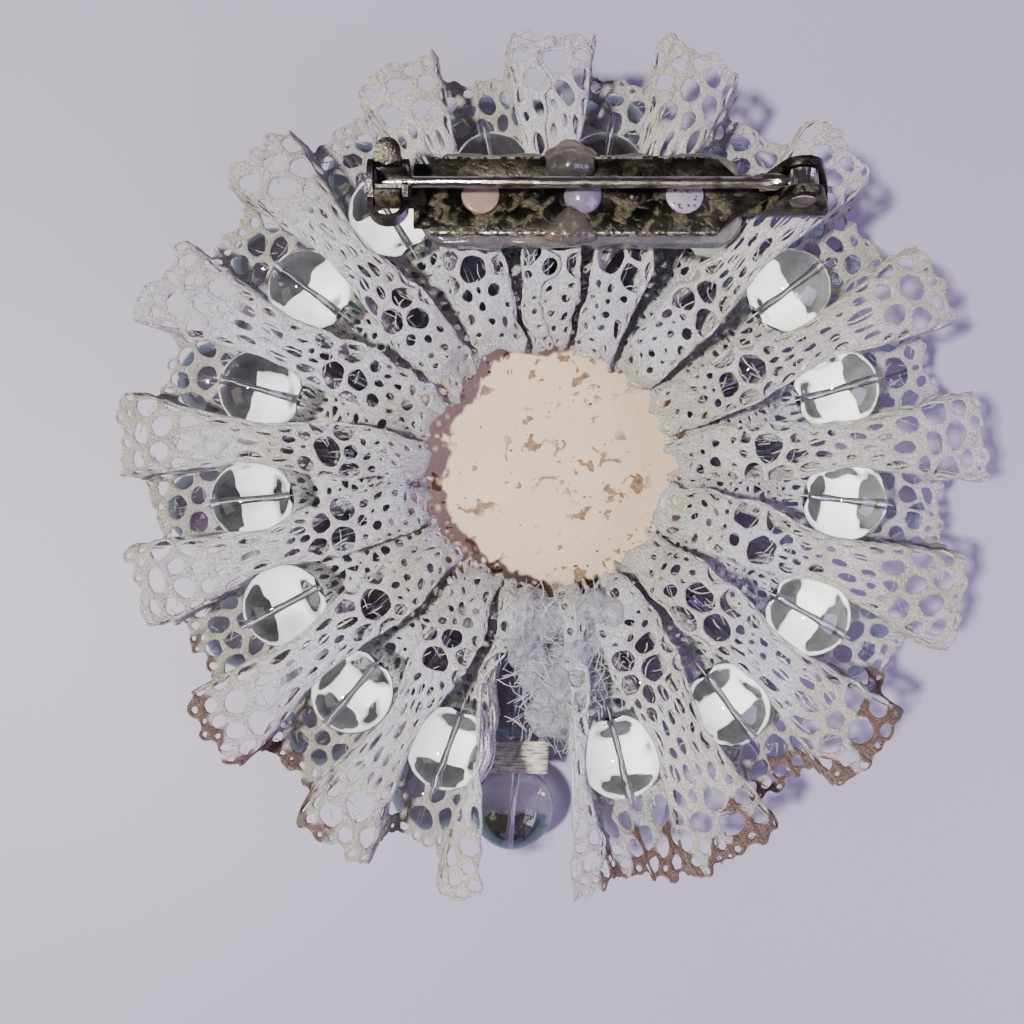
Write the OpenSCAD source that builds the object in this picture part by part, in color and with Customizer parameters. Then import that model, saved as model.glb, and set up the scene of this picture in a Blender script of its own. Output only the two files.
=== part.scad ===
// Lace and bead rosette brooch, lying on its front with the bar pin on top.
// +Z is up out of the back, +X runs along the pin and +Y points to the pin's side of the rosette.
// The origin is on the surface it lies on, under the middle of the rosette.

/* [Beads on the back] */
// Number of round beads sewn in the back pleats
back_beads = 16; // [14:1:18]
// Diameter of a back bead
back_bead_d = 6.2; // [5:0.1:7.5]
// Space between neighbouring back beads, which holds one pleat
back_bead_gap = 2.05; // [1.9:0.05:4]
// Diameter of the hole through every bead
bead_hole_d = 0.5; // [0.4:0.05:1.2]
// Angle left open between the last bead and the first, where the lace strip ends
seam_angle = 33.6; // [30:0.2:36]
// Angle at which the first bead sits
first_bead_angle = 283.9; // [275:0.1:290]
// Number of wider pleats after the first bead
wide_pleats = 3; // [1:1:5]
// Pitch of a wider pleat
wide_pitch = 23.3; // [22.5:0.1:24]

/* [Beads on the front] */
// Diameter of a front bead
front_bead_d = 6.6; // [5.4:0.1:8]
// Space between neighbouring beads of the inner ring
front_bead_gap = 0.3; // [0.2:0.05:1.5]
// Radial space between the inner and the outer ring
front_ring_gap = 2.1; // [0.6:0.1:4]
// Diameter of the nylon thread
thread_d = 0.2; // [0.15:0.05:0.4]

/* [Lace] */
// Radius of the opening in the middle of the lace
lace_inner_r = 9; // [7.5:0.1:10.8]
// Width of the lace strip, from the gathered edge to the cut edge
lace_w = 22.2; // [18:0.1:27]
// Thickness of the lace
lace_t = 0.3; // [0.2:0.05:0.35]
// Height of a pleat above the middle of a bead, as a share of the bead's radius
pleat_over = 0.775; // [0.7:0.005:0.9]

/* [Middle] */
// Radius of the round base plate
base_r = 11.3; // [11:0.1:12.5]
// Thickness of the base plate
base_t = 1.1; // [0.8:0.1:2]
// Radius of the large flat-backed stone on the front
stone_r = 11; // [9:0.1:11.3]
// Height of the stone
stone_h = 5.2; // [3.5:0.1:6]

/* [Bar pin] */
// Length of the flat plate of the bar
plate_len = 21.6; // [18:0.1:26]
// Width of the plate
plate_w = 5.7; // [4.8:0.1:6.6]
// Thickness of the sheet that the bar is stamped from
sheet_t = 0.6; // [0.5:0.05:0.8]
// Radius of the three holes in the plate
hole_r = 1.4; // [1.1:0.05:1.7]
// Distance between the holes
hole_pitch = 7.25; // [6:0.05:7.6]
// Lean of the bar towards the rim of the rosette
bar_lean = 8; // [0:1:10]
// Thickness of glue left under the bar
glue_under = 0.25; // [0.1:0.05:1]

/* [Pin stem and hinge] */
// Radius of the pin stem
stem_r = 0.4; // [0.35:0.05:0.5]
// Height of the stem's axis above the plate
stem_rise = 2.1; // [2:0.05:2.6]
// Length of the sharpened tip
tip_len = 2.4; // [2:0.1:3]
// Radius of the hinge rivet
rivet_r = 0.5; // [0.4:0.05:0.6]
// Radial clearance of a turning fit
run_gap = 0.05; // [0.03:0.01:0.08]
// Thickness of each hinge ear
ear_t = 0.6; // [0.4:0.05:0.8]
// Width of the slot between the hinge ears
ear_slot = 1.4; // [1.2:0.05:1.8]
// Length of the hinge housing
hinge_len = 4.9; // [4.6:0.1:5.5]

/* [Catch] */
// Inner radius of the rolled catch
catch_r = 1.25; // [1.15:0.05:1.4]
// Thickness of the rolled catch
catch_t = 0.5; // [0.4:0.05:0.6]
// Length of the rolled catch
catch_len = 1.8; // [1.5:0.1:2.4]
// Width of the slot that the stem drops into
catch_slot = 1.2; // [1.1:0.05:1.3]
// Thickness of the lock's cheeks
cheek_t = 0.4; // [0.3:0.05:0.5]
// Reach of the lock's thumb loop from its axis
loop_reach = 3.3; // [3:0.1:3.8]

/* [Hidden] */
$fn = 48;
eps = 0.01;

// Angles. Bead k sits in valley k, and pleat k stands between beads k and k + 1.
narrow_pitch = (360 - seam_angle - wide_pleats * wide_pitch) / (back_beads - 1 - wide_pleats);
function bead_angle(k) = first_bead_angle + min(k, wide_pleats) * wide_pitch
    + max(k - wide_pleats, 0) * narrow_pitch;
function pleat_angle(k) = (bead_angle(k) + bead_angle(k + 1)) / 2;

// Rings
back_r = back_bead_d / 2;
front_r = front_bead_d / 2;
back_ring_r = (back_bead_d + back_bead_gap) / (2 * sin(narrow_pitch / 2));
front_inner_r = (front_bead_d + front_bead_gap) / (2 * sin(narrow_pitch / 2));
front_outer_r = front_inner_r + front_bead_d + front_ring_gap;
seam_outer_angle = bead_angle(back_beads - 1)
    + 2 * asin((front_bead_d + 0.1) / (2 * front_outer_r));
seam_inner_angle = bead_angle(back_beads - 1) + 0.36 * seam_angle;

// Heights
lace_gap = 0.1;
base_top_z = max(front_bead_d + lace_gap, stone_h + base_t + 0.4);
base_z = base_top_z - base_t;
stone_z = base_z - stone_h;
floor_z = base_top_z + lace_gap + lace_t / 2;
back_bead_z = floor_z + lace_t / 2 + lace_gap + back_r;
pleat_z = back_bead_z + pleat_over * back_r;
pleat_h = pleat_z - floor_z;
pleat_top_z = pleat_z + lace_t / 2;
back_top_z = back_bead_z + back_r;

// Bar pin. Its own frame starts at the middle of the plate's underside.
bar_x = 2.3;
bar_y = back_ring_r - 3.15;
bar_z = back_top_z + glue_under + plate_w / 2 * sin(bar_lean);
neck_len = 1.2;
neck_w = 4.6;
corner_cut = 1.4;
axis_z = sheet_t + stem_rise;
hinge_w = ear_slot + 2 * ear_t;
hinge_x0 = plate_len / 2 + 1.6;
hinge_x1 = hinge_x0 + hinge_len;
rivet_x = hinge_x0 + 2.6;
ear_r = 1.5;
eye_r = 1.15;
eye_w = ear_slot - 0.2;
shank_r = stem_r + 0.2;
shank_x = hinge_x0 - 0.3;
cheek_r = catch_r + catch_t - 0.2;
cheek_gap = 0.1;
catch_x = -plate_len / 2 - neck_len - cheek_t - cheek_gap - catch_len / 2 - 0.1;
catch_open = 40;
rotor_r = catch_r - run_gap;
lock_half = catch_len / 2 + cheek_gap + cheek_t;
tip_x = catch_x - catch_len / 2 + 0.2;
taper_x = tip_x + tip_len;

// Glue
pad_len = plate_len + 1.6;
pad_w = plate_w + 1.2;
pad_corner = 2.2;

function bead_name(stem, k) = str(stem, k < 9 ? "0" : "", k + 1);

// Places what is drawn in the bar pin's own frame
module on_bar() {
    translate([bar_x, bar_y, bar_z]) rotate([-bar_lean, 0, 0]) children();
}

// Places what is drawn along +X from the bead's middle on a ring
module on_ring(angle, ring_r, z) {
    rotate([0, 0, angle]) translate([ring_r, 0, z]) children();
}

// Round bead with its hole along X
module drilled_bead(r) {
    difference() {
        sphere(r = r);
        translate([-r - 1, 0, 0]) rotate([0, 90, 0]) cylinder(d = bead_hole_d, h = 2 * r + 2);
    }
}

module back_bead(k) {
    color("azure", 0.5)
        on_ring(bead_angle(k), back_ring_r, back_bead_z) drilled_bead(back_r);
}

// Outer ring of the front. The last bead fills the seam.
module front_bead(k) {
    angle = k < back_beads ? bead_angle(k) : seam_outer_angle;
    color("lightcyan", 0.5) on_ring(angle, front_outer_r, front_r) drilled_bead(front_r);
}

// Inner ring of the front, one bead under each pleat and one in the seam
module inner_front_beads() {
    color("lavender", 0.5) {
        for (k = [0 : back_beads - 2])
            on_ring(pleat_angle(k), front_inner_r, front_r) drilled_bead(front_r);
        on_ring(seam_inner_angle, front_inner_r, front_r) drilled_bead(front_r);
    }
}

// One radial length of nylon thread through a bead, showing a little at both ends
module thread_length(angle, ring_r, z, r) {
    show = 0.6;
    on_ring(angle, ring_r - r - show, z) rotate([0, 90, 0])
        cylinder(d = thread_d, h = 2 * (r + show), $fn = 16);
}

module bead_threads() {
    color("whitesmoke") {
        for (k = [0 : back_beads - 1]) {
            thread_length(bead_angle(k), back_ring_r, back_bead_z, back_r);
            thread_length(bead_angle(k), front_outer_r, front_r, front_r);
        }
        for (k = [0 : back_beads - 2])
            thread_length(pleat_angle(k), front_inner_r, front_r, front_r);
        thread_length(seam_inner_angle, front_inner_r, front_r, front_r);
        thread_length(seam_outer_angle, front_outer_r, front_r, front_r);
    }
}

// Lace. Each row is the pleated section at one radius, as half widths of a valley at its foot,
// waist and lip, with the height of the pleat's top. The row at the bead ring wraps the beads.
wall_r = back_r + 0.12 + lace_t / 2;
lace_outer_r = lace_inner_r + lace_w;
row_in_r = back_ring_r - back_r - 0.5;
row_out_r = back_ring_r + back_r + 0.5;
row_mid_r = lace_inner_r + 0.42 * (row_in_r - lace_inner_r);
lace_rows = [
    plain_row(lace_inner_r, 0.14 * back_r, 0.18 * back_r, 0.3),
    plain_row(row_mid_r, 0.3 * back_r, 0.34 * back_r, 0.68),
    plain_row(row_in_r, 0.84 * back_r, 0.68 * back_r, 0.96),
    bead_row(),
    plain_row(row_out_r, 0.98 * back_r, 0.82 * back_r, 1),
    plain_row(lace_outer_r, 0.84 * back_r, 0.84 * back_r, 0.94)
];

function plain_row(r, foot, lip, rise) = [
    r,
    [
        [0, floor_z],
        [foot, floor_z],
        [foot + 0.05, floor_z + 0.45 * rise * pleat_h],
        [(foot + lip) / 2 + 0.05, floor_z + 0.8 * rise * pleat_h],
        [lip, floor_z + rise * pleat_h]
    ]
];
function bead_row() = [
    back_ring_r,
    [
        [0, floor_z],
        [wall_r * 0.9, floor_z],
        [wall_r, back_bead_z],
        [wall_r * cos(30), back_bead_z + wall_r * sin(30)],
        [wall_r * cos(48), pleat_z]
    ]
];

// The strip's own line at one row, as [distance round the ring, height], from end to end
function deg_at(s, r) = s / r * 180 / PI;
function valley(row, k) = concat(
    [for (j = [4 : -1 : 0]) [bead_angle(k) - deg_at(row[1][j][0], row[0]), row[1][j][1]]],
    [for (j = [1 : 4]) [bead_angle(k) + deg_at(row[1][j][0], row[0]), row[1][j][1]]]
);
function strip_line(row) = concat(
    [[bead_angle(0) - end_tab(row[0], 11.4), row[1][4][1]]],
    [for (k = [0 : back_beads - 1]) each concat(
        valley(row, k),
        k < back_beads - 1 ? [[pleat_angle(k), row[1][4][1]]] : []
    )],
    [[bead_angle(back_beads - 1) + end_tab(row[0], 12.4), row[1][4][1]]]
);
// Angle from an end bead to the cut end of the strip
function end_tab(r, at_rim) = r < row_out_r ? 10.2 : at_rim;

function flat(row) = [for (p = strip_line(row)) [p[0] * row[0] * PI / 180, p[1]]];
function unit(v) = v / norm(v);
function left_of(v) = [-v[1], v[0]];
function mitre(line, i) =
    let (
        last = len(line) - 1,
        into = unit(line[min(i + 1, last)] - line[min(i, last - 1)]),
        from = unit(line[max(i, 1)] - line[max(i - 1, 0)]),
        both = unit(left_of(into) + left_of(from))
    )
    both / max(both * left_of(from), 0.5);
function shifted(row, side) =
    let (line = flat(row))
    [for (i = [0 : len(line) - 1]) line[i] + side * lace_t / 2 * mitre(line, i)];
function to_space(p, r) = let (a = deg_at(p[0], r)) [r * cos(a), r * sin(a), p[1]];

module lace_ruffle() {
    count = len(strip_line(lace_rows[0]));
    rows = len(lace_rows);
    skin = rows * count;
    points = [
        for (side = [1, -1]) for (row = lace_rows) for (p = shifted(row, side))
            to_space(p, row[0])
    ];
    top = [for (j = [0 : rows - 2]) for (i = [0 : count - 2])
        let (a = j * count + i) each [[a, a + 1, a + count], [a + 1, a + count + 1, a + count]]];
    under = [for (f = top) [f[0] + skin, f[2] + skin, f[1] + skin]];
    inner = [for (i = [0 : count - 2]) each [[i, i + skin, i + 1], [i + 1, i + skin, i + 1 + skin]]];
    far = (rows - 1) * count;
    outer = [for (i = [far : far + count - 2])
        each [[i, i + 1, i + skin], [i + 1, i + 1 + skin, i + skin]]];
    start = [for (j = [0 : rows - 2]) let (a = j * count)
        each [[a, a + count, a + skin], [a + count, a + count + skin, a + skin]]];
    end = [for (j = [0 : rows - 2]) let (a = j * count + count - 1)
        each [[a, a + skin, a + count], [a + count, a + skin, a + count + skin]]];
    color("linen") polyhedron(points, concat(top, under, inner, outer, start, end));
}

module base_disc() {
    edge = 0.2;
    color("antiquewhite") rotate_extrude($fn = 96)
        polygon([
            [0, base_z], [base_r - edge, base_z], [base_r, base_z + edge],
            [base_r, base_top_z - edge], [base_r - edge, base_top_z], [0, base_top_z]
        ]);
}

// Flat-backed stone, table down
module centre_stone() {
    girdle = 0.9;
    table_r = 0.45 * stone_r;
    shoulder_r = 0.8 * stone_r;
    color("ghostwhite", 0.7) rotate_extrude($fn = 96)
        polygon([
            [0, base_z], [stone_r, base_z], [stone_r, base_z - girdle],
            [shoulder_r, stone_z + 0.4 * stone_h], [table_r, stone_z], [0, stone_z]
        ]);
}

// Bar pin. One stamping: plate, necks, hinge housing and rolled catch.
module plate_outline() {
    half = plate_len / 2;
    w = plate_w / 2;
    polygon([
        [-half, -w], [half - corner_cut, -w], [half, -w + corner_cut],
        [hinge_x0, -hinge_w / 2], [hinge_x1, -hinge_w / 2],
        [hinge_x1, hinge_w / 2], [hinge_x0, hinge_w / 2],
        [half, w - corner_cut], [half - corner_cut, w], [-half, w],
        [-half, neck_w / 2], [-half - neck_len, neck_w / 2],
        [-half - neck_len, catch_t * 1.6], [catch_x - catch_len / 2, catch_t * 1.6],
        [catch_x - catch_len / 2, -catch_t * 1.6], [-half - neck_len, -catch_t * 1.6],
        [-half - neck_len, -neck_w / 2], [-half, -neck_w / 2]
    ]);
}

// Point where a line from p touches the circle of radius r round c, on the given side
function touch(p, c, r, side) =
    let (
        d = c - p,
        reach = sqrt(d * d - r * r),
        a = atan2(d[1], d[0]) + side * asin(r / norm(d))
    )
    p + reach * [cos(a), sin(a)];

module ear_outline() {
    centre = [rivet_x, axis_z];
    low_left = [hinge_x0, 0.1];
    low_right = [hinge_x1, sheet_t + 0.2];
    translate(centre) circle(r = ear_r);
    polygon([
        low_left, touch(low_left, centre, ear_r, 1), centre,
        touch(low_right, centre, ear_r, -1), low_right, [hinge_x1, 0.1]
    ]);
}

module ear(y) {
    translate([0, y, 0]) rotate([90, 0, 0]) linear_extrude(ear_t) difference() {
        ear_outline();
        translate([rivet_x, axis_z]) circle(r = rivet_r);
    }
}

// Rolled catch, open at the top, with a lip that guides the stem in
module rolled_catch() {
    outer_r = catch_r + catch_t;
    lip_reach = 1.6;
    x0 = catch_x - catch_len / 2;
    difference() {
        union() {
            translate([x0, 0, axis_z]) rotate([0, 90, 0]) cylinder(r = outer_r, h = catch_len);
            translate([x0, -catch_t * 1.6, eps]) cube([catch_len, catch_t * 3.2, axis_z - 0.8]);
        }
        translate([x0 - 1, 0, axis_z]) rotate([0, 90, 0]) cylinder(r = catch_r, h = catch_len + 2);
        translate([x0 - 1, 0, axis_z]) rotate([90, 0, 90]) linear_extrude(catch_len + 2)
            polygon([[0, 0], [-4 * sin(catch_open), 4 * cos(catch_open)],
                [4 * sin(catch_open), 4 * cos(catch_open)]]);
    }
    mid_r = catch_r + catch_t / 2;
    translate([catch_x, mid_r * sin(catch_open), axis_z + mid_r * cos(catch_open)])
        rotate([18, 0, 0]) translate([0, 0, -catch_t / 2])
            linear_extrude(catch_t) lip_outline(catch_len, lip_reach);
}

module lip_outline(w, reach) {
    translate([-w / 2, 0]) square([w, reach - w / 2]);
    translate([0, reach - w / 2]) circle(d = w);
}

// Small round bump pressed up out of the plate
module pressed_dot() {
    dot_r = 0.4;
    dot_h = sheet_t / 2 + 0.14;
    intersection() {
        cylinder(r = dot_r, h = dot_h);
        translate([0, 0, dot_h - 0.6]) sphere(r = 0.6);
    }
}

module pin_bar() {
    color("dimgray") on_bar() {
        difference() {
            linear_extrude(sheet_t) plate_outline();
            for (i = [-1, 0, 1])
                translate([i * hole_pitch, 0, -1]) cylinder(r = hole_r, h = sheet_t + 2);
        }
        translate([hole_pitch / 2, 0, sheet_t / 2]) pressed_dot();
        ear(-ear_slot / 2);
        ear(ear_slot / 2 + ear_t);
        translate([hinge_x1 - 0.6, -ear_slot / 2 - eps, 0.1])
            cube([0.6, ear_slot + 2 * eps, sheet_t + 0.1]);
        rolled_catch();
    }
}

// Stem, tip to the left, with its eye round the rivet
module pin_stem() {
    color("silver") on_bar() translate([0, 0, axis_z]) {
        difference() {
            union() {
                translate([rivet_x, eye_w / 2, 0]) rotate([90, 0, 0]) cylinder(r = eye_r, h = eye_w);
                translate([shank_x, 0, 0]) rotate([0, 90, 0])
                    cylinder(r = shank_r, h = rivet_x - shank_x);
            }
            translate([rivet_x, eye_w, 0]) rotate([90, 0, 0])
                cylinder(r = rivet_r + run_gap, h = 2 * eye_w);
        }
        translate([taper_x, 0, 0]) rotate([0, 90, 0]) cylinder(r = stem_r, h = shank_x - taper_x);
        translate([tip_x, 0, 0]) rotate([0, 90, 0]) cylinder(r1 = 0.08, r2 = stem_r, h = tip_len);
    }
}

module hinge_rivet() {
    head_r = rivet_r + 0.4;
    head_h = 0.3;
    half = hinge_w / 2;
    color("gray") on_bar() translate([rivet_x, 0, axis_z]) rotate([90, 0, 0]) rotate_extrude()
        polygon([
            [0, -half - head_h], [head_r * 0.6, -half - head_h], [head_r, -half - head_h / 3],
            [head_r, -half], [rivet_r, -half], [rivet_r, half], [head_r, half],
            [head_r, half + head_h / 3], [head_r * 0.6, half + head_h], [0, half + head_h]
        ]);
}

// Lock: a slotted barrel in the rolled catch, two cheeks and a thumb loop
module catch_rotor() {
    loop_h = 0.9;
    loop_tilt = 12;
    color("black") on_bar() translate([catch_x, 0, axis_z]) difference() {
        union() {
            translate([-lock_half, 0, 0]) rotate([0, 90, 0]) cylinder(r = rotor_r, h = 2 * lock_half);
            for (x = [-lock_half, lock_half - cheek_t])
                translate([x, 0, 0]) rotate([0, 90, 0]) cylinder(r = cheek_r, h = cheek_t);
            rotate([-loop_tilt, 0, 0]) translate([0, 0, -loop_h / 2]) linear_extrude(loop_h)
                loop_outline();
        }
        stem_slot();
    }
}

module loop_outline() {
    inner = lock_half - cheek_t;
    straight = loop_reach - lock_half;
    difference() {
        union() {
            translate([-lock_half, -straight]) square([2 * lock_half, straight]);
            translate([0, -straight]) circle(r = lock_half);
        }
        translate([-inner, -straight]) square([2 * inner, straight + eps]);
        translate([0, -straight]) circle(r = inner);
    }
}

module stem_slot() {
    x0 = -catch_len / 2;
    long = lock_half + catch_len / 2 + 1;
    translate([x0, 0, 0]) rotate([0, 90, 0]) cylinder(d = catch_slot, h = long);
    translate([x0, -catch_slot / 2, 0]) cube([long, catch_slot, catch_r + catch_t + 1]);
}

// Hot glue under the bar, moulded round the beads it sits on
module glue_pad() {
    color("lavender", 0.6) difference() {
        translate([bar_x, bar_y, pleat_top_z + 0.05]) linear_extrude(4) pad_outline();
        on_bar() translate([-pad_len, -pad_w * 2, 0]) cube([2 * pad_len, 4 * pad_w, 8]);
        for (k = [0 : back_beads - 1])
            if (abs(back_ring_r * cos(bead_angle(k)) - bar_x) < pad_len / 2 + back_r
                && sin(bead_angle(k)) > 0)
                on_ring(bead_angle(k), back_ring_r, back_bead_z) sphere(r = back_r + eps);
    }
}

module pad_outline() {
    for (x = [-1, 1], y = [-1, 1])
        translate([x * (pad_len / 2 - pad_corner), y * (pad_w / 2 - pad_corner)])
            circle(r = pad_corner);
    square([pad_len - 2 * pad_corner, pad_w], center = true);
    square([pad_len, pad_w - 2 * pad_corner], center = true);
}

// Plug of glue in a hole of the bar, with a domed top
module glue_plug(x, rise) {
    seat_r = hole_r - 0.02;
    ball_r = (seat_r * seat_r + rise * rise) / (2 * rise);
    on_bar() translate([x, 0, 0]) {
        cylinder(r = seat_r, h = sheet_t);
        intersection() {
            translate([0, 0, sheet_t - eps]) cylinder(r = seat_r, h = rise + 1);
            translate([0, 0, sheet_t + rise - ball_r]) sphere(r = ball_r);
        }
    }
}

module glue_plug_left() { color("mistyrose", 0.7) glue_plug(-hole_pitch, 0.15); }
module glue_plug_middle() { color("lavender", 0.7) glue_plug(0, 0.78); }
module glue_plug_right() { color("lavenderblush", 0.7) glue_plug(hole_pitch, 0.2); }

// Glue that fills the seam between the strip's ends and spreads over the end pleat
module seam_glue() {
    cap_r = 4.4;
    cap_h = 0.8;
    seam_mid = first_bead_angle - seam_angle / 2;
    color("gainsboro", 0.7) {
        on_ring(seam_mid + 10.6, 16.4, pleat_top_z + 0.05) cylinder(r = cap_r, h = cap_h);
        on_ring(seam_mid + 0.6, 16.4, floor_z + lace_t)
            cylinder(r = 1.3, h = pleat_top_z + 0.1 - floor_z - lace_t);
    }
}

pin_bar();
pin_stem();
hinge_rivet();
catch_rotor();
glue_pad();
glue_plug_left();
glue_plug_middle();
glue_plug_right();
seam_glue();
lace_ruffle();
base_disc();
centre_stone();
bead_threads();
inner_front_beads();
for (k = [0 : back_beads - 1])
    back_bead(k);
for (k = [0 : back_beads])
    front_bead(k);
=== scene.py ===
import math

import bpy
import numpy as np
from mathutils import Matrix, Vector
from mathutils.geometry import delaunay_2d_cdt


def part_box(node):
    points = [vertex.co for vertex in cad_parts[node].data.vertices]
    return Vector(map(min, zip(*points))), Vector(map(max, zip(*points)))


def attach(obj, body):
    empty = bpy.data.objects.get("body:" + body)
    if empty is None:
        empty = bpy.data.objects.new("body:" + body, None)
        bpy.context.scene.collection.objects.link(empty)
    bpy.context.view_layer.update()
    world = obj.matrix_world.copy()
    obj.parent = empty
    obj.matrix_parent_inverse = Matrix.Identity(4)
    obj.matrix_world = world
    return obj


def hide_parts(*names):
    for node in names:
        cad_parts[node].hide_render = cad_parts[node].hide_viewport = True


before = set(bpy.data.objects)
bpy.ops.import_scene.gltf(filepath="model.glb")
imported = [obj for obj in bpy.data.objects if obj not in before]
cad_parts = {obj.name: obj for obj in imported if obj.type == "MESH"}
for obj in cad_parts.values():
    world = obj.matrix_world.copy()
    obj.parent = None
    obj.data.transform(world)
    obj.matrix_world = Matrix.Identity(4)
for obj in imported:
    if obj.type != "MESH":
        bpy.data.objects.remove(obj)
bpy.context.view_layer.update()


# ------------------------------------------------------------------ lace ruffle
# One strip of cotton lace, gathered along its inner edge and folded into box pleats round a ring.
# A bead sits in each valley between two pleats, and the strip's two ends meet at the seam.
# The net is worked out cell by cell on the flat strip and then laid over the pleats.
MM = 0.001
bead_names = sorted(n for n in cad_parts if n.startswith("back_bead_"))


def middle(node):
    """Middle of a node's box, in millimetres."""
    low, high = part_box(node)
    return [(a + b) / 2 / MM for a, b in zip(low, high)]


bead_middles = np.array([middle(name) for name in bead_names])
bead_low, bead_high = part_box(bead_names[0])
bead_r = (bead_high[2] - bead_low[2]) / 2 / MM
valley_angles = np.unwrap(np.arctan2(bead_middles[:, 1], bead_middles[:, 0]))
pleats = len(bead_names)
lace_low, lace_high = (np.array(corner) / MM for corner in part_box("lace_ruffle"))
lace_t = 0.3
floor_z = lace_low[2] + lace_t / 2
pleat_h = lace_high[2] - lace_low[2] - lace_t
inner_r = 9.0
strip_w = lace_high[0] - inner_r + 0.2
lace_rng = np.random.default_rng(7)

# The strip's two ends beside the seam, as angles past the first and the last bead
end_at = np.array([0, 3, 7, 10, 13, 18, strip_w])
end_tabs = np.radians([[12, 11, 9.5, 10, 10.5, 11.2, 11.4], [14, 12, 4.5, 6, 9, 11.5, 13]])

# Half a pleat's section at a few distances from the gathered edge: half widths of the valley at
# its foot, waist and lip, how far the gathers lift the valley, and the pleat's share of its height
row_at = np.array([0, 2.2, 4.2, 7.0, 9.6, 11.4, 13.2, 15.0, 16.8, 19.5, strip_w])
row_foot = np.array([0.45, 0.7, 1.0, 1.6, 2.5, 2.9, 3.1, 3.1, 3.0, 2.75, 2.5])
row_waist = np.array([0.45, 0.75, 1.1, 1.8, 2.8, 3.2, 3.35, 3.3, 3.15, 2.85, 2.6])
row_lip = np.array([0.1, 0.14, 0.2, 0.35, 1.2, 1.85, 2.1, 2.15, 2.15, 2.3, 2.6])
row_base = np.array([1.3, 2.3, 2.3, 1.3, 0.3, 0, 0, 0, 0, 0, 0])
row_rise = np.array([0.4, 0.74, 0.85, 0.94, 0.98, 1.0, 1.0, 1.0, 1.0, 0.97, 0.9])

# Each pleat differs a little from the next
lean = lace_rng.normal(0, 0.4, pleats + 1)
lift = lace_rng.normal(0, 0.2, pleats + 1)
wide = lace_rng.normal(1, 0.08, pleats + 1)
reach = lace_rng.normal(0, 0.3, pleats + 1)
twist = lace_rng.normal(0, 0.35, pleats + 1)

wave_count = 24
waves = lace_rng.normal(0, 1, (wave_count, 3))
phases = lace_rng.uniform(0, 2 * math.pi, wave_count)


def ripple(points, size):
    """Smooth noise from about -1 to 1 over points in millimetres, with bumps of about that size."""
    total = np.zeros(len(points))
    for wave, phase in zip(waves, phases):
        total += np.sin(points @ wave * (2.2 / size) + phase)
    return total / 7


half_steps = 40


def half_pleat(v, half_pitch, tab, flat_rim):
    """Half a pleat's line at v from the gathered edge, as distances from the valley and heights."""
    foot, waist = np.interp(v, row_at, row_foot), np.interp(v, row_at, row_waist)
    lip = np.interp(v, row_at, row_lip) * wide[tab]
    rise = np.interp(v, row_at, row_rise) * pleat_h + lift[tab] * min(1, v / 12)
    corners = np.array([0, foot, waist, (waist + lip) / 2 + 0.1, lip, half_pitch])
    base = np.interp(v, row_at, row_base) + flat_rim * pleat_h * 0.7 * np.interp(v, [15.5, 19.5], [0, 1])
    heights = floor_z + base + (rise - base) * np.array([0, 0, 0.5, 0.86, 1, 1.05])
    length = np.r_[0, np.cumsum(np.hypot(np.diff(corners), np.diff(heights)))]
    at = np.linspace(0, length[-1], half_steps)
    along, height = np.interp(at, length, corners), np.interp(at, length, heights)
    up = np.clip((height - floor_z) / pleat_h, 0, 1)
    return along, height, lean[tab] * up * min(1, v / 8)


rings = 60
soften = np.exp(-0.5 * (np.arange(-6, 7) / 2.6) ** 2)
soften /= soften.sum()


def pleated_row(v):
    """Angles and heights of the whole strip at v from its gathered edge."""
    radius = inner_r + v
    angles, heights = [], []
    for k in range(pleats):
        before = (valley_angles[k] - valley_angles[k - 1]) / 2 if k else np.interp(v, end_at, end_tabs[0])
        last = np.interp(v, end_at, end_tabs[1])
        after = (valley_angles[k + 1] - valley_angles[k]) / 2 if k < pleats - 1 else last
        for side, pitch, tab in ((-1, before, k), (1, after, k + 1)):
            along, height, sway = half_pleat(v, pitch * radius, tab, k == 0)
            angle = valley_angles[k] + (side * along + sway) / radius
            order = slice(None, None, side)
            angles.append(angle[order])
            heights.append(height[order])
    pad = len(soften) // 2
    return [np.convolve(np.pad(np.concatenate(row), pad, mode="edge"), soften, "valid")
            for row in (angles, heights)]


ring_v = np.linspace(0, strip_w, rings)
grid = np.array([pleated_row(v) for v in ring_v])
columns = grid.shape[2]


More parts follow.
